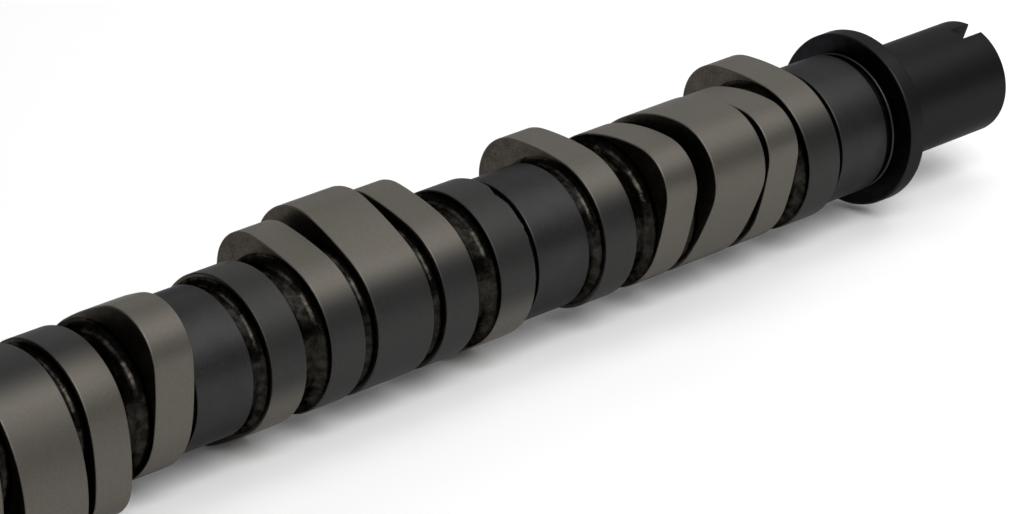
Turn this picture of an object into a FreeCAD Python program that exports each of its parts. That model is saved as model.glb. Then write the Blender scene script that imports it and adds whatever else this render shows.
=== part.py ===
import FreeCAD, Part
import math
import os

# Camshaft of an in-line four-cylinder engine with one overhead camshaft, cast in one piece
# with its lobes and machined where it runs. Millimetres.
#
# The shaft axis is X. X = 0 is the outer face of the thrust flange, the slotted drive spigot
# points to +X and the pulley end to -X. Z is up and the shaft lies as it comes to rest.
# Angles are in degrees round +X by the right-hand rule, from straight up.

# Cylinders
cylinder_count = 4
cylinder_pitch = 84.0
firing_order = (1, 3, 4, 2)
# where the last cylinder's overlap line points when the shaft lies at rest
rest_roll = -3.4

# Bearing journals, one past each end of the row of cylinders and one between cylinders
journal_radius = 14.25
journal_width = 13.2
journal_edge_break = 0.35
# how far the journals sit from the middle of the gap between two cylinders
journal_shift = 0.5

# Lobes: every lobe grows from the same base circle
base_circle_radius = 15.4
# angle between the exhaust noses and the intake noses
lobe_separation = 108.0

exhaust_nose_reach = 21.1
exhaust_nose_radius = 10.0
exhaust_opening_flank = 55.0
exhaust_closing_flank = 58.0
exhaust_front_width = 8.2
exhaust_rear_width = 8.8
exhaust_spacing = 56.9

intake_nose_reach = 20.0
intake_nose_radius = 8.7
intake_opening_flank = 60.0
intake_closing_flank = 36.0
intake_width = 8.2
intake_spacing = 28.3

# The wide lobe between the intake lobes lifts higher and closes later.
centre_nose_reach = 21.8
centre_nose_radius = 11.0
centre_opening_flank = 68.0
centre_closing_flank = 26.0
centre_width = 13.8

# As-cast core between the machined lands
core_radius = 13.2

# Thrust flange, with a grinding relief either side of the thin ring before it
flange_radius = 17.8
flange_thickness = 3.9
flange_edge_break = 0.4
flange_to_journal = 7.2
relief_radius = 13.4
ring_radius = 14.15
ring_width = 0.6
ring_from_flange = 1.0

# Drive spigot with its off-centre slot
spigot_radius = 11.65
spigot_length = 32.6
spigot_chamfer = 0.9
slot_width = 3.7
slot_depth = 6.0
slot_offset = 1.63
slot_angle = 21.4

# Pulley end: seal land, pulley seat with a key slot, and the tapped hole for the pulley bolt
front_relief_width = 1.5
seal_land_radius = 14.0
seal_land_length = 13.0
seat_radius = 12.5
seat_length = 18.0
seat_chamfer = 1.0
key_width = 5.0
key_depth = 3.0
key_length = 14.0
# where the key slot points, past the overlap line of cylinder 1
key_lead = 36.0
bolt_hole_radius = 4.25
bolt_hole_depth = 28.0
bolt_hole_countersink = 1.0
drill_point_angle = 118.0

AXIS = FreeCAD.Vector(1, 0, 0)
ORIGIN = FreeCAD.Vector(0, 0, 0)


def radial(angle):
    """Unit vector across the shaft at an angle."""
    turn = math.radians(angle)
    return FreeCAD.Vector(0, -math.sin(turn), math.cos(turn))


def revolved(outline):
    """Solid of revolution round X from a closed outline of (x, radius) corners."""
    points = [FreeCAD.Vector(x, 0, radius) for x, radius in outline]
    face = Part.Face(Part.makePolygon(points + points[:1]))
    return face.revolve(ORIGIN, AXIS, 360)


def land(start, end, radius, edge_break):
    """Turned cylinder with both edges broken."""
    return revolved([
        (start, 0),
        (start, radius - edge_break),
        (start + edge_break, radius),
        (end - edge_break, radius),
        (end, radius - edge_break),
        (end, 0),
    ])


def flank(side, flank_radius, nose_reach, nose_radius):
    """Flank arc tangent to the base circle and the nose arc, as (base end, middle, nose end).

    The points are (across, along) the nose direction. side is +1 on the opening side.
    """
    nose_centre = nose_reach - nose_radius
    to_axis = flank_radius - base_circle_radius
    to_nose = flank_radius - nose_radius
    along = (to_axis ** 2 - to_nose ** 2 + nose_centre ** 2) / (2 * nose_centre)
    across = -side * math.sqrt(to_axis ** 2 - along ** 2)
    at_base = math.atan2(-across, -along)
    at_nose = math.atan2(-across, nose_centre - along)
    return [
        (across + flank_radius * math.sin(turn), along + flank_radius * math.cos(turn))
        for turn in (at_base, (at_base + at_nose) / 2, at_nose)
    ]


def lobe(middle_x, width, nose_angle, nose_reach, nose_radius, opening_flank, closing_flank):
    """One cam lobe: base circle, two flanks and nose as tangent arcs."""
    start = middle_x - width / 2
    along_axis = radial(nose_angle)
    across_axis = radial(nose_angle + 90)

    def place(point):
        return FreeCAD.Vector(start, 0, 0) + across_axis * point[0] + along_axis * point[1]

    opening = flank(1, opening_flank, nose_reach, nose_radius)
    closing = flank(-1, closing_flank, nose_reach, nose_radius)
    arcs = [
        (closing[2], (0, nose_reach), opening[2]),
        (opening[2], opening[1], opening[0]),
        (opening[0], (0, -base_circle_radius), closing[0]),
        (closing[0], closing[1], closing[2]),
    ]
    wire = Part.Wire([Part.Arc(*[place(point) for point in arc]).toShape() for arc in arcs])
    return Part.Face(wire).extrude(AXIS * width)


# Stations along the shaft, worked out from the flange
last_journal_end = -flange_to_journal
last_journal_middle = last_journal_end - journal_width / 2
journal_middles = [last_journal_middle - cylinder_pitch * step for step in range(cylinder_count, -1, -1)]
first_journal_start = journal_middles[0] - journal_width / 2
seal_land_start = first_journal_start - front_relief_width - seal_land_length
front_end = seal_land_start - seat_length
flange_start = -flange_thickness


def cylinder_middle(cylinder):
    """X of a cylinder's centre line; cylinder 1 is at the pulley end."""
    return (journal_middles[cylinder - 1] + journal_middles[cylinder]) / 2 + journal_shift


def overlap_angle(cylinder):
    """Direction midway between a cylinder's exhaust and intake noses."""
    turns_late = firing_order.index(cylinder) - firing_order.index(cylinder_count)
    return rest_roll + 360.0 / cylinder_count * turns_late


def cylinder_lobes(cylinder):
    """The five lobes of one cylinder."""
    middle = cylinder_middle(cylinder)
    exhaust = overlap_angle(cylinder) - lobe_separation / 2
    intake = overlap_angle(cylinder) + lobe_separation / 2
    exhaust_form = (exhaust_nose_reach, exhaust_nose_radius, exhaust_opening_flank, exhaust_closing_flank)
    intake_form = (intake_nose_reach, intake_nose_radius, intake_opening_flank, intake_closing_flank)
    centre_form = (centre_nose_reach, centre_nose_radius, centre_opening_flank, centre_closing_flank)
    row = [
        (middle - exhaust_spacing / 2, exhaust_front_width, exhaust, exhaust_form),
        (middle - intake_spacing / 2, intake_width, intake, intake_form),
        (middle, centre_width, intake, centre_form),
        (middle + intake_spacing / 2, intake_width, intake, intake_form),
        (middle + exhaust_spacing / 2, exhaust_rear_width, exhaust, exhaust_form),
    ]
    return [lobe(lobe_middle, width, angle, *form) for lobe_middle, width, angle, form in row]


def journals():
    """The bearing journals."""
    half_width = journal_width / 2
    return [
        land(middle - half_width, middle + half_width, journal_radius, journal_edge_break)
        for middle in journal_middles
    ]


def core():
    """As-cast bar from the first journal to the last."""
    length = journal_middles[-1] - journal_middles[0]
    return Part.makeCylinder(core_radius, length, FreeCAD.Vector(journal_middles[0], 0, 0), AXIS)


def thrust_end():
    """Relieved neck, thin ring and thrust flange beside the last journal."""
    neck_start = last_journal_end - journal_width / 2
    neck_length = flange_start - neck_start
    ring_end = flange_start - ring_from_flange
    return [
        Part.makeCylinder(relief_radius, neck_length, FreeCAD.Vector(neck_start, 0, 0), AXIS),
        Part.makeCylinder(ring_radius, ring_width, FreeCAD.Vector(ring_end - ring_width, 0, 0), AXIS),
        land(flange_start, 0, flange_radius, flange_edge_break),
    ]


def drive_spigot():
    """Spigot with a chamfered end and the off-centre drive slot."""
    bar = land(flange_start, spigot_length, spigot_radius, spigot_chamfer)
    slot = Part.makeBox(slot_depth * 2, slot_width, spigot_radius * 4)
    floor = spigot_length - slot_depth
    slot.translate(FreeCAD.Vector(floor, slot_offset - slot_width / 2, -spigot_radius * 2))
    slot.rotate(ORIGIN, AXIS, slot_angle)
    return [bar.cut(slot)]


def pulley_end():
    """Relief, seal land and pulley seat with its key slot and tapped hole."""
    relief = Part.makeCylinder(relief_radius, front_relief_width + journal_width / 2,
                               FreeCAD.Vector(first_journal_start - front_relief_width, 0, 0), AXIS)
    seal_land = land(seal_land_start, seal_land_start + seal_land_length, seal_land_radius, journal_edge_break)
    seat = land(front_end, seal_land_start + seal_land_length / 2, seat_radius, seat_chamfer)
    key = Part.makeBox(key_length * 2, key_width, key_depth * 2)
    key.translate(FreeCAD.Vector(front_end - key_length, -key_width / 2, seat_radius - key_depth))
    key.rotate(ORIGIN, AXIS, overlap_angle(1) + key_lead)
    return [relief, seal_land, seat.cut(key)]


def bolt_hole():
    """Tapped hole for the pulley bolt at core size, with its countersink and drill point."""
    mouth = bolt_hole_radius + bolt_hole_countersink
    point = bolt_hole_radius / math.tan(math.radians(drill_point_angle / 2))
    return revolved([
        (front_end - bolt_hole_countersink, 0),
        (front_end - bolt_hole_countersink, mouth + bolt_hole_countersink),
        (front_end + bolt_hole_countersink, bolt_hole_radius),
        (front_end + bolt_hole_depth, bolt_hole_radius),
        (front_end + bolt_hole_depth + point, 0),
    ])


def camshaft():
    """The whole casting as one solid."""
    solids = journals() + thrust_end() + drive_spigot() + pulley_end()
    for cylinder in range(1, cylinder_count + 1):
        solids += cylinder_lobes(cylinder)
    return core().multiFuse(solids).cut(bolt_hole()).removeSplitter()


os.makedirs("parts", exist_ok=True)
shaft = camshaft()
shaft.exportStep("parts/camshaft.step")
print("solids", len(shaft.Solids), "valid", shaft.isValid(), "volume", round(shaft.Volume), "mm3")
print("length", round(shaft.BoundBox.XLength, 1), "mm, lowest point", round(shaft.BoundBox.ZMin, 2))
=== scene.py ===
import math

import bpy
import numpy as np
from bpy.props import (
    FloatProperty,
    FloatVectorProperty,
    IntProperty,
    IntVectorProperty,
    PointerProperty,
)
from bpy.types import Operator, Panel, PropertyGroup
from mathutils import Matrix, Vector, noise


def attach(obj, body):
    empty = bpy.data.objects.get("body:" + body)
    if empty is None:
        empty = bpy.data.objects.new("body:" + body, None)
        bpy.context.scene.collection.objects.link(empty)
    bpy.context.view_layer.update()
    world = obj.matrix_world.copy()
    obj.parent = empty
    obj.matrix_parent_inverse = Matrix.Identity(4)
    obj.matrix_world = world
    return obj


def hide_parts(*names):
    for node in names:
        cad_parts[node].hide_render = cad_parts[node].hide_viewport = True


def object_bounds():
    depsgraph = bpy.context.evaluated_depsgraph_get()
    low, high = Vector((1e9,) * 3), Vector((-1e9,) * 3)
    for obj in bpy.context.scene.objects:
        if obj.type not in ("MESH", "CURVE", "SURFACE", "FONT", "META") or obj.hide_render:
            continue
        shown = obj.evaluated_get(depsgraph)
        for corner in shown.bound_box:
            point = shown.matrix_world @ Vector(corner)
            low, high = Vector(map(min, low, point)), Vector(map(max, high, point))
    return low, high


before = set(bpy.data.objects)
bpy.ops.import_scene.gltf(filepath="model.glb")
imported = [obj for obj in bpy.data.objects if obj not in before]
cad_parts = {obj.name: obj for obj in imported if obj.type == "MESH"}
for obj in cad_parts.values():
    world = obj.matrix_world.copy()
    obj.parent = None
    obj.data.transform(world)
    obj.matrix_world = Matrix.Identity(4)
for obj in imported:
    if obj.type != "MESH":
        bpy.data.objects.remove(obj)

# Camshaft of an in-line four-cylinder engine: the ground, turned and as-cast surfaces of its one
# casting, and the plain studio round it. The shaft axis is X, the thrust flange's outer face is at
# X = 0, the slotted drive spigot points to +X and Z is up. Angles turn round +X from straight up.

bl_info = {
    "name": "Camshaft",
    "version": (1, 0, 0),
    "blender": (4, 5, 0),
    "location": "3D View > Sidebar > Camshaft",
    "description": "Builds an overhead camshaft with ground lobes on an as-cast core, and its studio",
    "category": "Object",
}

MM = 0.001
CAD_LOW, CAD_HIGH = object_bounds()
CAD_MIDDLE = (CAD_LOW + CAD_HIGH) / 2
FULL_TURN = 2 * math.pi
QUARTER_TURN = math.pi / 2

# Finishes, in the order of the casting's material slots
# THRUST_SHADE is a finish of painted shade: a black darker than the blacked steel, on the reliefs and the
# flange's inner face
LOBE, JOURNAL, CAST, SIDE, BLACKED, THRUST_SHADE = range(6)


# Sizes and colours

def millimetres(name, description, default):
    """Setting of a length, with its default in millimetres."""
    return FloatProperty(name=name, description=description, default=default * MM, unit="LENGTH")


def degrees(name, description, default):
    """Setting of an angle, with its default in degrees."""
    return FloatProperty(
        name=name, description=description, default=math.radians(default), subtype="ANGLE")


def colour(name, description, default):
    """Setting of a colour."""
    return FloatVectorProperty(
        name=name, description=description, default=default, subtype="COLOR", size=3, min=0, max=1)


class CylinderRow(PropertyGroup):
    """Where the cylinders stand and how their lobes are phased."""

    count: IntProperty(name="Cylinders", description="Number of cylinders", default=4, min=1)
    pitch: millimetres("Pitch", "Distance between cylinders", 84)
    firing_order: IntVectorProperty(
        name="Firing order", description="Cylinders in the order that they fire",
        default=(1, 3, 4, 2), size=4)
    rest_roll: degrees(
        "Roll at rest", "Where the last cylinder's overlap line points as the shaft lies", -3.4)
    lobe_separation: degrees("Lobe separation", "Angle between the exhaust and the intake noses", 108)
    base_circle_radius: millimetres("Base circle", "Radius of every lobe's heel", 15.4)
    edge_break: millimetres("Lobe edge", "Radius of the rounded edge round each lobe", 0.28)


def lobe_settings(nose_reach, nose_radius, opening_flank, closing_flank, ground_opening, ground_closing):
    """Settings that every kind of lobe has, with their defaults in millimetres and degrees."""
    return {
        "nose_reach": millimetres("Nose reach", "From the shaft axis to the top of the nose", nose_reach),
        "nose_radius": millimetres("Nose radius", "Radius of the nose arc", nose_radius),
        "opening_flank": millimetres("Opening flank", "Radius of the opening flank", opening_flank),
        "closing_flank": millimetres("Closing flank", "Radius of the closing flank", closing_flank),
        "ground_opening": degrees(
            "Ground opening side", "Angle from the nose where the ground finish ends as it opens",
            ground_opening),
        "ground_closing": degrees(
            "Ground closing side", "Angle from the nose where the ground finish ends as it closes",
            ground_closing),
    }


class ExhaustLobe(PropertyGroup):
    """The narrow outer lobes of a cylinder."""

    __annotations__ = lobe_settings(
        nose_reach=21.1, nose_radius=10, opening_flank=55, closing_flank=58,
        ground_opening=107, ground_closing=107)
    front_width: millimetres("Front width", "Width of the lobe nearer the pulley end", 8.2)
    rear_width: millimetres("Rear width", "Width of the lobe nearer the drive end", 8.8)
    spacing: millimetres("Spacing", "Between the middles of the two lobes", 56.9)


class IntakeLobe(PropertyGroup):
    """The narrow inner lobes of a cylinder."""

    __annotations__ = lobe_settings(
        nose_reach=20, nose_radius=8.7, opening_flank=60, closing_flank=36,
        ground_opening=89, ground_closing=111)
    width: millimetres("Width", "Width of each lobe", 8.2)
    spacing: millimetres("Spacing", "Between the middles of the two lobes", 28.3)


class CentreLobe(PropertyGroup):
    """The wide, higher lobe in the middle of a cylinder."""

    __annotations__ = lobe_settings(
        nose_reach=21.8, nose_radius=11, opening_flank=68, closing_flank=26,
        ground_opening=89, ground_closing=106)
    width: millimetres("Width", "Width of the lobe", 13.8)


class BearingJournals(PropertyGroup):
    """The ground journals that the shaft runs in."""

    radius: millimetres("Radius", "Radius of a journal", 14.25)
    width: millimetres("Width", "Width of a journal", 13.2)
    edge_break: millimetres("Journal edge", "Radius of a journal's rounded edge", 0.3)
    shift: millimetres("Shift", "From the middle of the gap between two cylinders to the journal", 0.5)


class ThrustEnd(PropertyGroup):
    """The thrust flange, the thin ring before it and the reliefs either side of the ring."""

    flange_radius: millimetres("Flange radius", "Radius of the thrust flange", 17.8)
    flange_thickness: millimetres("Flange thickness", "Thickness of the thrust flange", 3.9)
    flange_edge_break: millimetres("Flange edge break", "Width of the flange's broken edge", 0.4)
    flange_to_journal: millimetres(
        "Flange to journal", "From the flange's outer face to the last journal", 7.2)
    relief_radius: millimetres("Relief radius", "Radius at the bottom of a grinding relief", 13.4)
    ring_radius: millimetres("Ring radius", "Radius of the thin ring", 14.15)
    ring_width: millimetres("Ring width", "Width of the thin ring", 0.6)
    ring_edge_break: millimetres("Ring edge", "Radius of the ring's rounded edges", 0.27)
    ring_from_flange: millimetres("Ring from flange", "Gap between the ring and the flange", 1)


class DriveSpigot(PropertyGroup):
    """The blacked spigot past the flange and its off-centre slot."""

    radius: millimetres("Radius", "Radius of the spigot", 11.65)
    length: FloatProperty(
        name="Length", description="From the flange to the spigot's end",
        default=CAD_HIGH.x, unit="LENGTH")
    end_round: millimetres("End rounding", "Radius of the rounded edge at the end", 0.9)
    slot_width: millimetres("Slot width", "Width of the drive slot", 3.7)
    slot_depth: millimetres("Slot depth", "Depth of the drive slot", 6)
    slot_offset: millimetres("Slot offset", "From the shaft axis to the middle of the slot", 1.63)
    slot_angle: degrees("Slot angle", "Turn of the slot from upright", 21.4)


class PulleyEnd(PropertyGroup):
    """The seal land, the keyed pulley seat and the tapped hole."""

    relief_width: millimetres("Relief width", "Width of the relief before the first journal", 1.5)
    seal_land_radius: millimetres("Seal land radius", "Radius where the shaft seal runs", 14)
    seal_land_length: millimetres("Seal land length", "Length of the seal land", 13)
    seat_radius: millimetres("Seat radius", "Radius of the pulley seat", 12.5)
    seat_chamfer: millimetres("Seat chamfer", "Width of the chamfer at the end", 1)
    key_width: millimetres("Key width", "Width of the key slot", 5)
    key_depth: millimetres("Key depth", "Depth of the key slot", 3)
    key_length: millimetres("Key length", "Length of the key slot", 14)
    key_lead: degrees("Key lead", "Angle of the key slot past cylinder 1's overlap line", 36)
    hole_radius: millimetres("Hole radius", "Radius to the crests of the tapped hole's thread", 4.25)
    hole_depth: millimetres("Hole depth", "Depth of the tapped hole's wall", 28)
    countersink: millimetres("Countersink", "Width of the hole's countersink", 1)
    drill_point: degrees("Drill point", "Angle across the hole's conical bottom", 118)
    thread_pitch: millimetres("Thread pitch", "Pitch of the bolt's thread", 1.5)
    thread_depth: millimetres("Thread depth", "Depth of the thread's grooves", 0.75)
    thread_steepness: FloatProperty(
        name="Thread steepness", description="Depths that a groove's wall falls in half a pitch",
        default=1.5, min=1)
    thread_crest: FloatProperty(
        name="Thread crest", description="Share of the depth that the flat crests cut off",
        default=0.25, min=0)
    thread_length: millimetres("Thread length", "Length of full thread from the mouth", 22)


class CastCore(PropertyGroup):
    """The as-cast bar that shows in the grooves between the machined lands."""

    radius: millimetres("Radius", "Radius of the as-cast bar", 13.2)
    root_fillet: millimetres("Root fillet", "Radius where the bar meets a side face", 2.1)
    fillet_share: FloatProperty(
        name="Fillet share", description="Largest share of a groove's width that a fillet takes",
        default=0.45, min=0, max=0.5)
    lump_height: millimetres("Lump height", "Height of the casting's lumps", 0.06)
    lump_size: millimetres("Lump size", "Size of the casting's lumps", 1.8)
    lump_smoothness: FloatProperty(
        name="Lump smoothness", description="How fast the finer lumps get lower", default=0.7, min=0)
    lump_step: FloatProperty(
        name="Lump step", description="How much finer each further layer of lumps is", default=2.1, min=1)
    lump_layers: IntProperty(
        name="Lump layers", description="Number of layers of lumps", default=3, min=1)


class RimNick(PropertyGroup):
    """The small nick worn into the rim of a cylinder's last lobe."""

    cylinder: IntProperty(
        name="Cylinder", description="Cylinder whose last lobe has the nick", default=3, min=1)
    angle: degrees("Angle", "Where the nick is deepest, round the shaft from straight up", 21)
    spread: degrees("Spread", "Angle from the deepest place to either end of the nick", 10)
    depth: millimetres("Depth", "How far the nick reaches into the rim", 0.9)


class Detail(PropertyGroup):
    """How finely the skin is divided."""

    around: IntProperty(
        name="Around", description="Points round each ring, a multiple of four", default=160, min=16)
    along_cast: millimetres("Along the casting", "Ring spacing on as-cast surfaces", 0.42)
    fillet_steps: IntProperty(
        name="Fillet steps", description="Rings across a root fillet", default=5, min=1)
    edge_steps: IntProperty(
        name="Edge steps", description="Rings across a rounded edge", default=3, min=1)
    hole_share: IntProperty(
        name="Hole share", description="Points round the shaft for each point round the hole",
        default=4, min=1)
    thread_steps: IntProperty(
        name="Thread steps", description="Rings in each turn of the thread", default=8, min=4)
    smooth_angle: degrees("Smooth angle", "Widest turn of the surface that is shaded as smooth", 40)


class Finishes(PropertyGroup):
    """Colours of the casting's surfaces."""

    ground_nose: colour("Ground nose", "Warm grey where the lobes are ground", (0.13, 0.12, 0.104))
    coated_heel: colour("Coated heel", "Cool dark grey of the lobes' heels", (0.048, 0.047, 0.046))
    coated_journal: colour("Coated journal", "Cool dark grey of the journals", (0.044, 0.0435, 0.0437))
    blacked_steel: colour(
        "Blacked spigot", "Near black of the spigot and flange", (0.0205, 0.0205, 0.0215))
    cast_iron: colour("Cast iron", "Brownish grey of the as-cast core", (0.027, 0.0256, 0.0222))
    cast_soot: colour(
        "Casting soot", "Sooty brown in the hollows of the as-cast core", (0.0085, 0.007, 0.0055))
    # Painted shade: a black darker than the blacked steel, standing in for the deep shade on the reliefs
    # and the flange's inner face
    thrust_face_painted_shade: colour(
        "Thrust face", "Oily black of the reliefs and the flange's inner face", (0.014, 0.014, 0.016))
    side_face: colour("Side faces", "Brownish dark grey of the lobes' side faces", (0.064, 0.055, 0.046))
    heel_fade: FloatProperty(
        name="Heel fade",
        description="Share of the ground finish's reach over which it fades into the heel's",
        default=0.13, min=0.01)


class Stage(PropertyGroup):
    """The studio round the camshaft."""

    floor_colour: colour("Floor", "Colour of the floor", (0.95, 0.95, 0.95))
    floor_glow: FloatProperty(
        name="Floor glow", description="Light added to the floor as it is seen, to make it white",
        default=0.03, min=0)
    far_glow: FloatProperty(
        name="Far glow",
        description="Light added to the far floor as it is seen, where the lamps fall off",
        default=1.0, min=0)
    far_glow_start: FloatProperty(
        name="Far glow start", description="From the shaft's middle to where the far glow begins",
        default=0.32, unit="LENGTH")
    far_glow_full: FloatProperty(
        name="Far glow full", description="From the shaft's middle to where the far glow is full",
        default=1.5, unit="LENGTH")
    floor_size: FloatProperty(
        name="Floor size", description="Width of the floor", default=60, unit="LENGTH")
    world_level: FloatProperty(
        name="Room level", description="Brightness of the room round the studio", default=0.11, min=0)
    camera_place: FloatVectorProperty(
        name="Camera place", description="Where the camera stands",
        default=(-692.5 * MM, -608.0 * MM, 352.5 * MM), subtype="TRANSLATION", unit="LENGTH", size=3)
    camera_tilt: degrees("Camera tilt", "How far the camera looks below the horizon", 22.657)
    camera_bearing: degrees(
        "Camera bearing", "Direction that the camera looks in, round Z from +X", 45.628)
    camera_lens: FloatProperty(
        name="Lens", description="Focal length of the camera in millimetres", default=171.58, min=1)
    camera_sensor: FloatProperty(
        name="Sensor", description="Width of the camera's sensor in millimetres", default=36, min=1)
    camera_clip_start: FloatProperty(
        name="Clip start", description="Nearest distance that the camera sees", default=0.05,
        unit="LENGTH")


def light_settings(size, distance, bearing, elevation, level):
    """Settings of one soft light, with their defaults in metres and degrees."""
    return {
        "size": FloatVectorProperty(
            name="Size", description="Width and height of the light", default=size,
            unit="LENGTH", size=2, min=0),
        "distance": FloatProperty(
            name="Distance", description="From the shaft to the light", default=distance, unit="LENGTH"),
        "bearing": degrees("Bearing", "Direction of the light round Z from +X", bearing),
        "elevation": degrees("Elevation", "Height of the light above the horizon", elevation),
        "level": FloatProperty(
            name="Level", description="Brightness of the light as it is seen", default=level, min=0),
    }


class FrontLight(PropertyGroup):
    """The soft light before the shaft."""

    __annotations__ = light_settings(
        size=(1.3, 1.3), distance=2.2, bearing=-103, elevation=49, level=7.0)


class SideLight(PropertyGroup):
    """The soft light at the drive end."""

    __annotations__ = light_settings(
        size=(0.52, 0.36), distance=0.58, bearing=-25, elevation=46, level=1.7)


class BackLight(PropertyGroup):
    """The soft light behind the shaft."""

    __annotations__ = light_settings(
        size=(1.2, 0.8), distance=1.1, bearing=48, elevation=28, level=1.15)


class TopLight(PropertyGroup):
    """The soft light above the shaft."""

    __annotations__ = light_settings(
        size=(0.6, 0.6), distance=1.2, bearing=90, elevation=80, level=1.9)


GROUPS = {
    "camshaft_row": CylinderRow,
    "camshaft_exhaust": ExhaustLobe,
    "camshaft_intake": IntakeLobe,
    "camshaft_centre": CentreLobe,
    "camshaft_journals": BearingJournals,
    "camshaft_thrust": ThrustEnd,
    "camshaft_spigot": DriveSpigot,
    "camshaft_pulley": PulleyEnd,
    "camshaft_core": CastCore,
    "camshaft_nick": RimNick,
    "camshaft_detail": Detail,
    "camshaft_finishes": Finishes,
    "camshaft_stage": Stage,
    "camshaft_front_light": FrontLight,
    "camshaft_side_light": SideLight,
    "camshaft_back_light": BackLight,
    "camshaft_top_light": TopLight,
}


# Form of the lobes

def flank_arc(side, flank_radius, lobe, base_radius):
    """Centre of a flank arc as (across, along) the nose direction, and its two end angles.

    side is +1 on the opening side. The angles are the sizes of the turns from the nose to the
    flank's nose end and to its base end.
    """
    nose_centre = lobe.nose_reach - lobe.nose_radius
    to_axis = flank_radius - base_radius
    to_nose = flank_radius - lobe.nose_radius
    along = (to_axis ** 2 - to_nose ** 2 + nose_centre ** 2) / (2 * nose_centre)
    across = -side * math.sqrt(to_axis ** 2 - along ** 2)
    ends = []
    for turn in (math.atan2(-across, nose_centre - along), math.atan2(-across, -along)):
        end_across = across + flank_radius * math.sin(turn)
        end_along = along + flank_radius * math.cos(turn)
        ends.append(abs(math.atan2(end_across, end_along)))
    return across, along, ends[0], ends[1]


def arc_reach(turns, radius, across, along):
    """Distance from the axis to the far side of a circle, at each turn from the nose."""
    towards = across * np.sin(turns) + along * np.cos(turns)
    return towards + np.sqrt(towards ** 2 - across ** 2 - along ** 2 + radius ** 2)


def lobe_radii(turns, lobe, base_radius):
    """Radius of a lobe at each turn from its nose."""
    radii = np.full(turns.shape, base_radius)
    nose_centre = lobe.nose_reach - lobe.nose_radius
    for side, flank_radius in ((1, lobe.opening_flank), (-1, lobe.closing_flank)):
        across, along, nose_end, base_end = flank_arc(side, flank_radius, lobe, base_radius)
        mine = turns * side >= 0
        on_nose = mine & (np.abs(turns) <= nose_end)
        on_flank = mine & (np.abs(turns) > nose_end) & (np.abs(turns) < base_end)
        radii[on_nose] = arc_reach(turns[on_nose], lobe.nose_radius, 0, nose_centre)
        radii[on_flank] = arc_reach(turns[on_flank], flank_radius, across, along)
    return radii


# Skin of the casting

def quarter_arc(steps):
    """Sine and cosine at equal steps over a quarter turn."""
    turns = [QUARTER_TURN * step / steps for step in range(steps + 1)]
    return [(math.sin(turn), math.cos(turn)) for turn in turns]


class Skin:
    """Rings of points round the shaft axis, joined into one closed surface."""

    def __init__(self, around):
        self.around = around
        self.points = []
        self.past_ground = []
        self.faces = []
        self.finishes = []
        self.last = None

    def turns(self, count):
        """Angles of the points round a ring."""
        return np.arange(count) * FULL_TURN / count

    def ring(self, x, radius, finish, past_ground=0, count=None):
        """Adds a ring and joins it to the last one with a band of that finish."""
        count = count or self.around
        turns = self.turns(count)
        radii = np.broadcast_to(radius, (count,))
        start = len(self.points)
        across = -radii * np.sin(turns)
        up = radii * np.cos(turns)
        self.points.extend(zip(np.broadcast_to(x, (count,)), across, up))
        self.past_ground.extend(np.broadcast_to(past_ground, (count,)))
        if self.last is not None:
            self.join(self.last, (start, count), finish)
        self.last = (start, count)

    def join(self, old, new, finish):
        """Band of quads between two rings, or a fan where the new ring is finer."""
        old_start, old_count = old
        new_start, new_count = new
        finer = new_count // old_count
        for step in range(old_count):
            a = old_start + step
            b = old_start + (step + 1) % old_count
            fine = [new_start + (step * finer + part) % new_count for part in range(finer + 1)]
            if finer == 1:
                self.faces.append((a, b, fine[1], fine[0]))
                self.finishes.append(finish)
                continue
            for near, far in zip(fine, fine[1:]):
                self.faces.append((a, far, near))
                self.finishes.append(finish)
            self.faces.append((a, b, fine[-1]))
            self.finishes.append(finish)

    def round_off(self, end, radii, edge_break, steps, finish, past_ground=0):
        """Rounded edge at a land's end."""
        for sine, cosine in quarter_arc(steps):
            x = end - edge_break * (1 - sine)
            self.ring(x, radii - edge_break * (1 - cosine), finish, past_ground)

    def close(self, x, finish):
        """Fan from the last ring to a point on the axis."""
        tip = len(self.points)
        self.points.append((x, 0.0, 0.0))
        self.past_ground.append(0)
        start, count = self.last
        for step in range(count):
            self.faces.append((start + step, start + (step + 1) % count, tip))
            self.finishes.append(finish)

    def open(self, x, count, radius, inner_x, finish):
        """Fan from a point on the axis to a first ring."""
        tip = len(self.points)
        self.points.append((x, 0.0, 0.0))
        self.past_ground.append(0)
        self.ring(inner_x, radius, finish, count=count)
        start = tip + 1
        for step in range(count):
            self.faces.append((tip, start + (step + 1) % count, start + step))
            self.finishes.append(finish)

    def mesh(self, name):
        """Mesh of the whole skin, with its finishes and how far it lies past the ground finish."""
        mesh = bpy.data.meshes.new(name)
        mesh.from_pydata(self.points, [], self.faces)
        mesh.polygons.foreach_set("material_index", self.finishes)
        mesh.polygons.foreach_set("use_smooth", [True] * len(self.faces))
        reach = mesh.attributes.new("past_ground", "FLOAT", "POINT")
        reach.data.foreach_set("value", self.past_ground)
        mesh.update()
        return mesh


class Land:
    """A machined stretch of the shaft: from start to end, with its radii and its edge break."""

    def __init__(self, start, end, radii, edge_break, finish, side_finish, past_ground=0, nick=0):
        self.start = start
        self.end = end
        self.radii = radii
        self.edge_break = edge_break
        self.finish = finish
        self.side_finish = side_finish
        self.past_ground = past_ground
        self.nick = nick

    def lay(self, skin, steps):
        """Two rounded edges and the running surface between them."""
        finish = self.side_finish
        for sine, cosine in quarter_arc(steps):
            x = self.start + self.edge_break * (1 - cosine)
            skin.ring(x, self.radii - self.edge_break * (1 - sine), finish, self.past_ground)
            finish = self.finish
        rim = self.end - self.nick
        skin.round_off(rim, self.radii, self.edge_break, steps, self.finish, self.past_ground)


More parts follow.
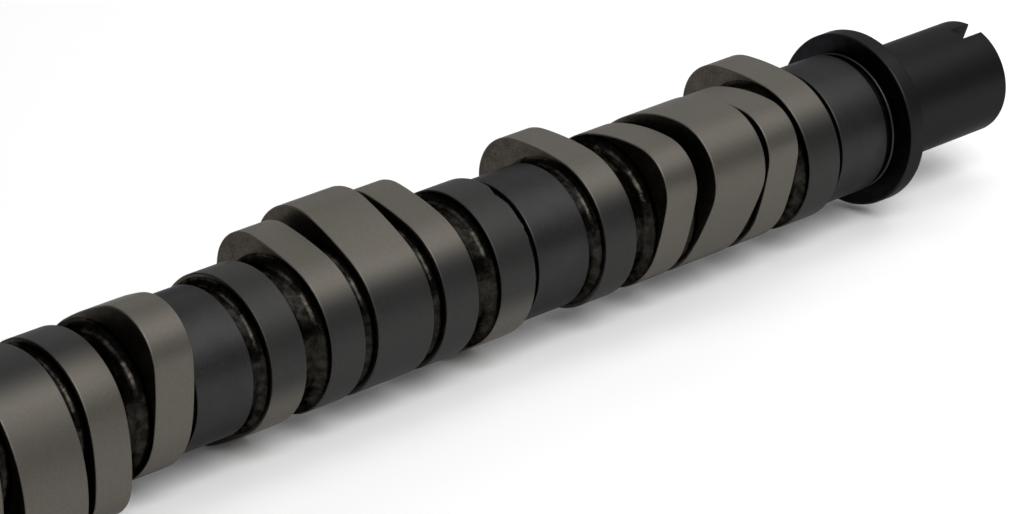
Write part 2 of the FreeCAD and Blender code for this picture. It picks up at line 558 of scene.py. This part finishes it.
class Shaft:
    """Works out the stations of the shaft from the scene's sizes and lays its skin."""

    def __init__(self, scene):
        self.row = scene.camshaft_row
        self.exhaust = scene.camshaft_exhaust
        self.intake = scene.camshaft_intake
        self.centre = scene.camshaft_centre
        self.journals = scene.camshaft_journals
        self.thrust = scene.camshaft_thrust
        self.spigot = scene.camshaft_spigot
        self.pulley = scene.camshaft_pulley
        self.core = scene.camshaft_core
        self.nick = scene.camshaft_nick
        self.detail = scene.camshaft_detail
        self.skin = Skin(self.detail.around)
        last_middle = -self.thrust.flange_to_journal - self.journals.width / 2
        self.journal_middles = [
            last_middle - self.row.pitch * step for step in range(self.row.count, -1, -1)
        ]
        first_journal_start = self.journal_middles[0] - self.journals.width / 2
        self.seal_land_end = first_journal_start - self.pulley.relief_width
        self.seal_land_start = self.seal_land_end - self.pulley.seal_land_length
        self.front_end = CAD_LOW.x

    def overlap_angle(self, cylinder):
        """Direction midway between a cylinder's exhaust and intake noses."""
        order = list(self.row.firing_order)
        turns_late = order.index(cylinder) - order.index(self.row.count)
        return self.row.rest_roll + FULL_TURN / self.row.count * turns_late

    def lobe_land(self, middle, width, nose_angle, lobe):
        """The running surface of one lobe."""
        turns = self.skin.turns(self.detail.around) - nose_angle
        turns = (turns + math.pi) % FULL_TURN - math.pi
        radii = lobe_radii(turns, lobe, self.row.base_circle_radius)
        past_ground = np.where(turns > 0, turns / lobe.ground_opening, -turns / lobe.ground_closing)
        start = middle - width / 2
        end = middle + width / 2
        return Land(start, end, radii, self.row.edge_break, LOBE, SIDE, past_ground)

    def cylinder_lands(self, cylinder):
        """The five lobes of one cylinder, from the pulley end."""
        middles = self.journal_middles[cylinder - 1:cylinder + 1]
        middle = sum(middles) / 2 + self.journals.shift
        exhaust_angle = self.overlap_angle(cylinder) - self.row.lobe_separation / 2
        intake_angle = self.overlap_angle(cylinder) + self.row.lobe_separation / 2
        exhaust, intake = self.exhaust, self.intake
        lands = [
            self.lobe_land(middle - exhaust.spacing / 2, exhaust.front_width, exhaust_angle, exhaust),
            self.lobe_land(middle - intake.spacing / 2, intake.width, intake_angle, intake),
            self.lobe_land(middle, self.centre.width, intake_angle, self.centre),
            self.lobe_land(middle + intake.spacing / 2, intake.width, intake_angle, intake),
            self.lobe_land(middle + exhaust.spacing / 2, exhaust.rear_width, exhaust_angle, exhaust),
        ]
        if cylinder == self.nick.cylinder:
            off_nick = np.abs(self.skin.turns(self.detail.around) - self.nick.angle)
            lands[-1].nick = self.nick.depth * np.clip(1 - off_nick / self.nick.spread, 0, 1)
        return lands

    def journal_land(self, middle):
        """One bearing journal."""
        half = self.journals.width / 2
        radii = np.full(self.detail.around, self.journals.radius)
        return Land(middle - half, middle + half, radii, self.journals.edge_break, JOURNAL, JOURNAL)

    def cast_lands(self):
        """Journals and lobes in order, from the first journal to the last."""
        lands = [self.journal_land(self.journal_middles[0])]
        for cylinder in range(1, self.row.count + 1):
            lands += self.cylinder_lands(cylinder)
            lands.append(self.journal_land(self.journal_middles[cylinder]))
        return lands

    def cast_radii(self, x, radius):
        """Radius round a ring of the as-cast skin, with its lumps."""
        core = self.core
        heights = []
        for turn in self.skin.turns(self.detail.around):
            place = Vector((x, -radius * math.sin(turn), radius * math.cos(turn)))
            heights.append(noise.fractal(
                place / core.lump_size, core.lump_smoothness, core.lump_step, core.lump_layers))
        return radius + core.lump_height * np.array(heights)

    def cast_groove(self, before, after):
        """As-cast groove between two lands, with a fillet at each side face."""
        width = after.start - before.end
        core = self.core.radius
        rims = [land.radii.min() - land.edge_break for land in (before, after)]
        widest = width * self.core.fillet_share
        fillets = [min(self.core.root_fillet, widest, rim - core) for rim in rims]
        finish = before.side_finish
        for sine, cosine in quarter_arc(self.detail.fillet_steps):
            x = before.end + fillets[0] * (1 - cosine)
            self.skin.ring(x, self.cast_radii(x, core + fillets[0] * (1 - sine)), finish)
            finish = CAST
        bottom = width - sum(fillets)
        rings = max(1, round(bottom / self.detail.along_cast))
        for ring in range(1, rings):
            x = before.end + fillets[0] + bottom * ring / rings
            self.skin.ring(x, self.cast_radii(x, core), CAST)
        for sine, cosine in quarter_arc(self.detail.fillet_steps):
            x = after.start - fillets[1] * (1 - sine)
            self.skin.ring(x, self.cast_radii(x, core + fillets[1] * (1 - cosine)), CAST)

    def bolt_hole(self):
        """The tapped hole, from its drill point to its mouth."""
        pulley = self.pulley
        count = self.detail.around // self.detail.hole_share
        turns = self.skin.turns(count)
        wall_end = self.front_end + pulley.hole_depth
        point = pulley.hole_radius / math.tan(pulley.drill_point / 2)
        self.skin.open(wall_end + point, count, pulley.hole_radius, wall_end, CAST)
        spacing = pulley.thread_pitch / self.detail.thread_steps
        rings = round((pulley.thread_length - pulley.countersink) / spacing)
        for ring in range(rings + 1):
            x = self.front_end + pulley.thread_length - ring * spacing
            phase = (x / pulley.thread_pitch - turns / FULL_TURN) % 1
            wave = 1 - np.abs(2 * phase - 1)
            groove = np.clip(pulley.thread_steepness * wave - pulley.thread_crest, 0, 1)
            run_out = min(1, ring / self.detail.thread_steps)
            radii = pulley.hole_radius + pulley.thread_depth * run_out * groove
            self.skin.ring(x, radii, JOURNAL, count=count)
        mouth = pulley.hole_radius + pulley.countersink
        self.skin.ring(self.front_end, mouth, JOURNAL, count=count)

    def pulley_end(self):
        """The end face, the pulley seat and the seal land."""
        pulley = self.pulley
        chamfer = pulley.seat_chamfer
        self.skin.ring(self.front_end, pulley.seat_radius - chamfer, JOURNAL)
        self.skin.ring(self.front_end + chamfer, pulley.seat_radius, JOURNAL)
        self.skin.ring(self.seal_land_start, pulley.seat_radius, JOURNAL)
        radii = np.full(self.detail.around, pulley.seal_land_radius)
        Land(self.seal_land_start, self.seal_land_end, radii,
             self.journals.edge_break, JOURNAL, JOURNAL).lay(self.skin, self.detail.edge_steps)
        relief = self.thrust.relief_radius
        self.skin.ring(self.seal_land_end, relief, JOURNAL)
        self.skin.ring(self.seal_land_end + pulley.relief_width, relief, JOURNAL)

    def thrust_end(self):
        """The reliefs, the thin ring, the flange and the spigot."""
        thrust = self.thrust
        spigot = self.spigot
        flange_start = -thrust.flange_thickness
        ring_end = flange_start - thrust.ring_from_flange
        ring_start = ring_end - thrust.ring_width
        # The reliefs, the ring's sides and the flange's inner face take the finish of painted shade
        self.skin.ring(-thrust.flange_to_journal, thrust.relief_radius, JOURNAL)
        self.skin.ring(ring_start, thrust.relief_radius, THRUST_SHADE)
        radii = np.full(self.detail.around, thrust.ring_radius)
        Land(ring_start, ring_end, radii, thrust.ring_edge_break,
             JOURNAL, THRUST_SHADE).lay(self.skin, self.detail.edge_steps)
        self.skin.ring(ring_end, thrust.relief_radius, THRUST_SHADE)
        self.skin.ring(flange_start, thrust.relief_radius, THRUST_SHADE)
        radii = np.full(self.detail.around, thrust.flange_radius)
        Land(flange_start, 0, radii, thrust.flange_edge_break,
             BLACKED, THRUST_SHADE).lay(self.skin, self.detail.edge_steps)
        self.skin.ring(0, spigot.radius, BLACKED)
        self.skin.round_off(
            spigot.length, spigot.radius, spigot.end_round, self.detail.fillet_steps, BLACKED)
        self.skin.close(spigot.length, BLACKED)

    def lay(self):
        """Lays the whole skin, from the pulley end to the drive spigot."""
        self.bolt_hole()
        self.pulley_end()
        lands = self.cast_lands()
        lands[0].lay(self.skin, self.detail.edge_steps)
        for before, after in zip(lands, lands[1:]):
            self.cast_groove(before, after)
            after.lay(self.skin, self.detail.edge_steps)
        self.thrust_end()
        return self.skin

    def slot_cutters(self):
        """Boxes that cut the drive slot and the key slot, as (matrix, size, finish).

        Each box has its middle at the slot's open end, so half of it stands outside the metal.
        """
        spigot, pulley = self.spigot, self.pulley
        drive_size = Vector((spigot.slot_depth * 2, spigot.slot_width, spigot.radius * 4))
        drive = Matrix.Rotation(spigot.slot_angle, 4, "X") @ Matrix.Translation(
            (spigot.length, spigot.slot_offset, 0))
        key_size = Vector((pulley.key_length * 2, pulley.key_width, pulley.key_depth * 2))
        key_turn = self.overlap_angle(1) + pulley.key_lead
        key = Matrix.Rotation(key_turn, 4, "X") @ Matrix.Translation(
            (self.front_end, 0, pulley.seat_radius))
        return [(drive, drive_size, BLACKED), (key, key_size, JOURNAL)]


BOX_CORNERS = [(x, y, z) for x in (-0.5, 0.5) for y in (-0.5, 0.5) for z in (-0.5, 0.5)]
BOX_FACES = [(0, 1, 3, 2), (4, 6, 7, 5), (0, 4, 5, 1), (2, 3, 7, 6), (0, 2, 6, 4), (1, 5, 7, 3)]
# How far the large faces lead in the shading of an edge, from 1 to 100
LARGE_FACES_LEAD = 100


def cut_slots(piece, cutters):
    """Cuts boxes out of the piece. The cut walls take the cutters' finishes."""
    corners, faces, finishes = [], [], []
    for matrix, size, finish in cutters:
        start = len(corners)
        corners += [matrix @ (Vector(corner) * size) for corner in BOX_CORNERS]
        faces += [tuple(start + index for index in face) for face in BOX_FACES]
        finishes += [finish] * len(BOX_FACES)
    mesh = bpy.data.meshes.new("slot_cutter")
    mesh.from_pydata(corners, [], faces)
    for material in piece.data.materials:
        mesh.materials.append(material)
    mesh.polygons.foreach_set("material_index", finishes)
    cutter = bpy.data.objects.new("slot_cutter", mesh)
    bpy.context.scene.collection.objects.link(cutter)
    cut = piece.modifiers.new("slots", "BOOLEAN")
    cut.object = cutter
    cut.solver = "EXACT"
    cut.material_mode = "INDEX"
    apply_modifier(piece, cut)
    bpy.data.objects.remove(cutter)


def apply_modifier(piece, modifier):
    """Applies one modifier to the piece's mesh."""
    bpy.context.view_layer.objects.active = piece
    bpy.ops.object.modifier_apply(modifier=modifier.name)


def round_edges(piece, smooth_angle):
    """Shades the broken edges as rounded ones and keeps the square corners sharp."""
    piece.data.set_sharp_from_angle(angle=smooth_angle)
    weighted = piece.modifiers.new("weighted_normals", "WEIGHTED_NORMAL")
    weighted.keep_sharp = True
    weighted.weight = LARGE_FACES_LEAD
    apply_modifier(piece, weighted)


# Finishes

# Range that most values of a noise texture lie in
MOST_NOISE = (0.3, 0.7)
# Factor, first and second colour among a Mix node's inputs, and its colour output
MIX_INPUTS = (0, 6, 7)
MIX_OUTPUT = 2


def rgba(value):
    """A colour with its alpha, or any other value as it is."""
    if isinstance(value, (bpy.types.NodeSocket, float)):
        return value
    return (*value, 1.0)


class NodeTree:
    """A material's node tree, with short ways to add its nodes."""

    def __init__(self, name):
        self.material = bpy.data.materials.new(name)
        self.material.use_nodes = True
        self.nodes = self.material.node_tree.nodes
        self.links = self.material.node_tree.links

    def add(self, kind, settings=None, **inputs):
        """Adds a node and feeds the named inputs."""
        node = self.nodes.new(kind)
        for key, value in (settings or {}).items():
            setattr(node, key, value)
        for key, value in inputs.items():
            self.feed(node.inputs[key.replace("_", " ")], value)
        return node

    def feed(self, socket, value):
        """Links an input to another node's output, or sets its own value."""
        if isinstance(value, bpy.types.NodeSocket):
            self.links.new(value, socket)
        else:
            socket.default_value = value

    def calculate(self, operation, *values):
        """Result of a Math node."""
        node = self.add("ShaderNodeMath", {"operation": operation})
        for socket, value in zip(node.inputs, values):
            self.feed(socket, value)
        return node.outputs["Value"]

    def spread(self, value, target, source=MOST_NOISE, smooth=False):
        """Maps a value from the source range to the target range, held at the ends."""
        return self.add(
            "ShaderNodeMapRange", {"interpolation_type": "SMOOTHSTEP" if smooth else "LINEAR"},
            Value=value, From_Min=source[0], From_Max=source[1], To_Min=target[0], To_Max=target[1],
        ).outputs["Result"]


class Paint(NodeTree):
    """One finish of the casting."""

    def __init__(self, name, rim_tint):
        super().__init__(name)
        self.shader = self.nodes["Principled BSDF"]
        self.shader.inputs["Specular Tint"].default_value = (rim_tint, rim_tint, rim_tint, 1.0)

    def noise(self, scale, detail, roughness, stretch=(1, 1, 1)):
        """Noise from 0 to 1 that is fixed to the piece. scale is in lumps for each millimetre."""
        coordinates = self.add("ShaderNodeTexCoord").outputs["Object"]
        place = self.add(
            "ShaderNodeMapping", Vector=coordinates, Scale=[part / MM for part in stretch])
        return self.add(
            "ShaderNodeTexNoise", Vector=place.outputs["Vector"], Scale=scale, Detail=detail,
            Roughness=roughness).outputs["Fac"]

    def blend(self, factor, first, second, way="MIX"):
        """Blends two colours."""
        node = self.add("ShaderNodeMix", {"data_type": "RGBA", "blend_type": way})
        for index, value in zip(MIX_INPUTS, (factor, first, second)):
            self.feed(node.inputs[index], rgba(value))
        return node.outputs[MIX_OUTPUT]

    def shade(self, colour, amount):
        """Multiplies a colour by an amount that varies over the surface."""
        return self.blend(1.0, colour, amount, way="MULTIPLY")

    def relief(self, *layers):
        """Small relief from (height, depth in metres) layers, the coarsest first."""
        normal = {}
        for height, depth in layers:
            bump = self.add("ShaderNodeBump", Height=height, Distance=depth, **normal)
            normal = {"Normal": bump.outputs["Normal"]}
        return normal["Normal"]

    def cover(self, colour, roughness, relief, metallic=1.0):
        """Feeds the shader and gives the finished material."""
        look = {"Base Color": colour, "Roughness": roughness, "Normal": relief, "Metallic": metallic}
        for key, value in look.items():
            self.feed(self.shader.inputs[key], value)
        return self.material


def ground_lobe(finishes):
    """Ground running surface: warm satin round the nose, the cool coating left on the heel."""
    paint = Paint("ground_lobe", rim_tint=0.62)
    grain = paint.noise(scale=2.2, detail=4.0, roughness=0.7)
    scratches = paint.noise(scale=7.0, detail=3.0, roughness=0.65, stretch=(1, 0.04, 0.04))
    past_ground = paint.add("ShaderNodeAttribute", {"attribute_name": "past_ground"}).outputs["Fac"]
    fade = finishes.heel_fade
    # The grain moves the border on by up to the fade's reach, and by half of that in the middle
    ragged = paint.calculate("MULTIPLY_ADD", grain, fade, past_ground)
    middle = 1 + fade / 2
    heel = paint.spread(ragged, (0, 1), source=(middle - fade, middle + fade), smooth=True)
    colour = paint.blend(heel, finishes.ground_nose, finishes.coated_heel)
    return paint.cover(
        colour=paint.shade(colour, paint.spread(grain, (0.9, 1.08))),
        roughness=paint.spread(scratches, (0.44, 0.54)),
        relief=paint.relief((scratches, 0.004 * MM), (grain, 0.012 * MM)))


def coated_journal(finishes):
    """Bearing journal: a cool dark satin coating with a fine speckle."""
    paint = Paint("coated_journal", rim_tint=0.46)
    speckle = paint.noise(scale=2.6, detail=5.0, roughness=0.75)
    cloud = paint.noise(scale=0.22, detail=2.0, roughness=0.5)
    colour = paint.shade(
        finishes.coated_journal, paint.spread(speckle, (0.82, 1.2), source=(0.3, 0.72)))
    return paint.cover(
        colour=paint.shade(colour, paint.spread(cloud, (0.94, 1.06))),
        roughness=paint.spread(speckle, (0.38, 0.5)),
        relief=paint.relief((speckle, 0.02 * MM)))


def as_cast(finishes):
    """As-cast iron in the grooves: uneven, sooty in its hollows, with a dull shine on its crests."""
    paint = Paint("as_cast", rim_tint=0.4)
    lumps = paint.noise(scale=0.55, detail=5.0, roughness=0.6)
    grit = paint.noise(scale=2.4, detail=4.0, roughness=0.7)
    crests = paint.spread(lumps, (0, 1), source=(0.38, 0.62))
    colour = paint.blend(crests, finishes.cast_soot, finishes.cast_iron)
    return paint.cover(
        colour=paint.shade(colour, paint.spread(grit, (0.7, 1.25), source=(0.32, 0.68))),
        roughness=paint.spread(grit, (0.16, 0.28)),
        relief=paint.relief((lumps, 0.12 * MM), (grit, 0.02 * MM)))


def side_face(finishes):
    """Side faces of the lobes: brownish dark iron, hardly worked."""
    paint = Paint("side_face", rim_tint=0.45)
    stain = paint.noise(scale=0.4, detail=3.0, roughness=0.6)
    grit = paint.noise(scale=2.6, detail=4.0, roughness=0.75)
    colour = paint.shade(finishes.side_face, paint.spread(stain, (0.78, 1.16), source=(0.32, 0.68)))
    return paint.cover(
        colour=paint.shade(colour, paint.spread(grit, (0.55, 1.35), source=(0.32, 0.68))),
        roughness=paint.spread(grit, (0.28, 0.42)),
        relief=paint.relief((stain, 0.015 * MM), (grit, 0.02 * MM)))


def blacked_steel(finishes):
    """Spigot and flange: turned and blacked, nearly black satin."""
    paint = Paint("blacked_steel", rim_tint=0.45)
    speckle = paint.noise(scale=2.0, detail=4.0, roughness=0.7)
    turning = paint.noise(scale=5.0, detail=2.0, roughness=0.5, stretch=(1, 0.03, 0.03))
    return paint.cover(
        colour=paint.shade(finishes.blacked_steel, paint.spread(speckle, (0.88, 1.12))),
        roughness=paint.spread(turning, (0.4, 0.48)),
        relief=paint.relief((turning, 0.004 * MM), (speckle, 0.01 * MM)),
        metallic=0.9)


def thrust_face_painted_shade(finishes):
    """Reliefs and inner face of the flange: turned and blacked, in a black darker than the flange's that
    paints the shade falling on them.
    """
    paint = Paint("thrust_face_painted_shade", rim_tint=0.45)
    turning = paint.noise(scale=2.5, detail=3.0, roughness=0.6, stretch=(1, 0.2, 0.2))
    return paint.cover(
        colour=paint.shade(finishes.thrust_face_painted_shade, paint.spread(turning, (0.7, 1.3))),
        roughness=paint.spread(turning, (0.3, 0.42)),
        relief=paint.relief((turning, 0.01 * MM)))


# Stage

def seen_by_eye_or_mirror(tree):
    """1 for camera, glossy and transmission rays, and 0 for the others."""
    path = tree.add("ShaderNodeLightPath").outputs
    mirrored = tree.calculate("MAXIMUM", path["Is Glossy Ray"], path["Is Transmission Ray"])
    return tree.calculate("MAXIMUM", path["Is Camera Ray"], mirrored)


def glow_level(tree, stage):
    """Strength of the floor's glow, which rises away from the shaft."""
    away = tree.add("ShaderNodeVectorMath", {"operation": "DISTANCE"})
    tree.feed(away.inputs[0], tree.add("ShaderNodeNewGeometry").outputs["Position"])
    tree.feed(away.inputs[1], CAD_MIDDLE)
    return tree.spread(
        away.outputs["Value"], (stage.floor_glow, stage.far_glow),
        source=(stage.far_glow_start, stage.far_glow_full), smooth=True)


def floor_material(stage):
    """Pale floor that takes shadows and is seen as white."""
    tree = NodeTree("pale_floor")
    tree.nodes.clear()
    diffuse = tree.add("ShaderNodeBsdfDiffuse", Color=rgba(stage.floor_colour))
    strength = tree.calculate("MULTIPLY", seen_by_eye_or_mirror(tree), glow_level(tree, stage))
    glow = tree.add("ShaderNodeEmission", Strength=strength)
    both = tree.add("ShaderNodeAddShader")
    for socket, shader in zip(both.inputs, (diffuse, glow)):
        tree.feed(socket, shader.outputs[0])
    tree.add("ShaderNodeOutputMaterial", Surface=both.outputs[0])
    return tree.material


def add_floor(stage):
    """Flat floor at the lowest point of the camshaft."""
    half = stage.floor_size / 2
    level = CAD_LOW.z
    mesh = bpy.data.meshes.new("studio_floor")
    mesh.from_pydata(
        [(-half, -half, level), (half, -half, level), (half, half, level), (-half, half, level)],
        [], [(0, 1, 2, 3)])
    mesh.materials.append(floor_material(stage))
    floor = bpy.data.objects.new("studio_floor", mesh)
    bpy.context.scene.collection.objects.link(floor)


def add_soft_light(name, settings):
    """Soft light that faces the camshaft. Its level is its brightness as it is seen."""
    direction = Vector((
        math.cos(settings.bearing) * math.cos(settings.elevation),
        math.sin(settings.bearing) * math.cos(settings.elevation),
        math.sin(settings.elevation),
    ))
    lamp = bpy.data.lights.new(name, "AREA")
    lamp.shape = "RECTANGLE"
    lamp.size, lamp.size_y = settings.size
    lamp.energy = settings.level * math.pi * settings.size[0] * settings.size[1]
    light = bpy.data.objects.new(name, lamp)
    light.location = CAD_MIDDLE + direction * settings.distance
    light.rotation_euler = (-direction).to_track_quat("-Z", "Y").to_euler()
    light.visible_camera = False
    bpy.context.scene.collection.objects.link(light)


def add_world(stage):
    """Dim plain room."""
    world = bpy.data.worlds.new("room")
    world.use_nodes = True
    background = world.node_tree.nodes["Background"]
    background.inputs["Color"].default_value = (1, 1, 1, 1)
    background.inputs["Strength"].default_value = stage.world_level
    bpy.context.scene.world = world


def add_camera(stage):
    """Camera at the photograph's viewing angle."""
    data = bpy.data.cameras.new("camera")
    data.lens = stage.camera_lens
    data.sensor_width = stage.camera_sensor
    data.sensor_fit = "HORIZONTAL"
    data.clip_start = stage.camera_clip_start
    camera = bpy.data.objects.new("camera", data)
    camera.location = stage.camera_place
    camera.rotation_euler = (QUARTER_TURN - stage.camera_tilt, 0, stage.camera_bearing - QUARTER_TURN)
    bpy.context.scene.collection.objects.link(camera)
    bpy.context.scene.camera = camera


# Operators and panel

class CAMSHAFT_OT_build_casting(Operator):
    """Build the camshaft as one casting with its ground, turned and as-cast finishes"""

    bl_idname = "camshaft.build_casting"
    bl_label = "Build casting"
    bl_options = {"REGISTER", "UNDO"}

    def execute(self, context):
        shaft = Shaft(context.scene)
        mesh = shaft.lay().mesh("camshaft_casting")
        finishes = context.scene.camshaft_finishes
        for make in (ground_lobe, coated_journal, as_cast, side_face, blacked_steel, thrust_face_painted_shade):
            mesh.materials.append(make(finishes))
        piece = bpy.data.objects.new("camshaft_casting", mesh)
        context.scene.collection.objects.link(piece)
        cut_slots(piece, shaft.slot_cutters())
        round_edges(piece, context.scene.camshaft_detail.smooth_angle)
        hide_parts("camshaft")
        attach(piece, "root")
        return {"FINISHED"}


class CAMSHAFT_OT_set_stage(Operator):
    """Set the floor, the soft lights, the room and the camera"""

    bl_idname = "camshaft.set_stage"
    bl_label = "Set stage"
    bl_options = {"REGISTER", "UNDO"}

    def execute(self, context):
        stage = context.scene.camshaft_stage
        context.scene.view_settings.view_transform = "Standard"
        add_floor(stage)
        for name in ("front_light", "side_light", "back_light", "top_light"):
            add_soft_light(name, getattr(context.scene, "camshaft_" + name))
        add_world(stage)
        add_camera(stage)
        return {"FINISHED"}


OPERATORS = (CAMSHAFT_OT_build_casting, CAMSHAFT_OT_set_stage)


class CAMSHAFT_PT_sidebar(Panel):
    """Sizes, finishes and steps of the camshaft"""

    bl_idname = "CAMSHAFT_PT_sidebar"
    bl_label = "Camshaft"
    bl_space_type = "VIEW_3D"
    bl_region_type = "UI"
    bl_category = "Camshaft"

    def draw(self, context):
        for operator in OPERATORS:
            self.layout.operator(operator.bl_idname)
        for name, group in GROUPS.items():
            box = self.layout.box()
            box.label(text=group.__doc__)
            settings = getattr(context.scene, name)
            for prop in group.__annotations__:
                box.prop(settings, prop)


CLASSES = (*GROUPS.values(), *OPERATORS, CAMSHAFT_PT_sidebar)


def register():
    for cls in CLASSES:
        bpy.utils.register_class(cls)
    for name, group in GROUPS.items():
        setattr(bpy.types.Scene, name, PointerProperty(type=group))


def unregister():
    for name in GROUPS:
        delattr(bpy.types.Scene, name)
    for cls in reversed(CLASSES):
        bpy.utils.unregister_class(cls)


def main():
    register()
    bpy.ops.camshaft.build_casting()
    bpy.ops.camshaft.set_stage()


if __name__ == "__main__":
    main()
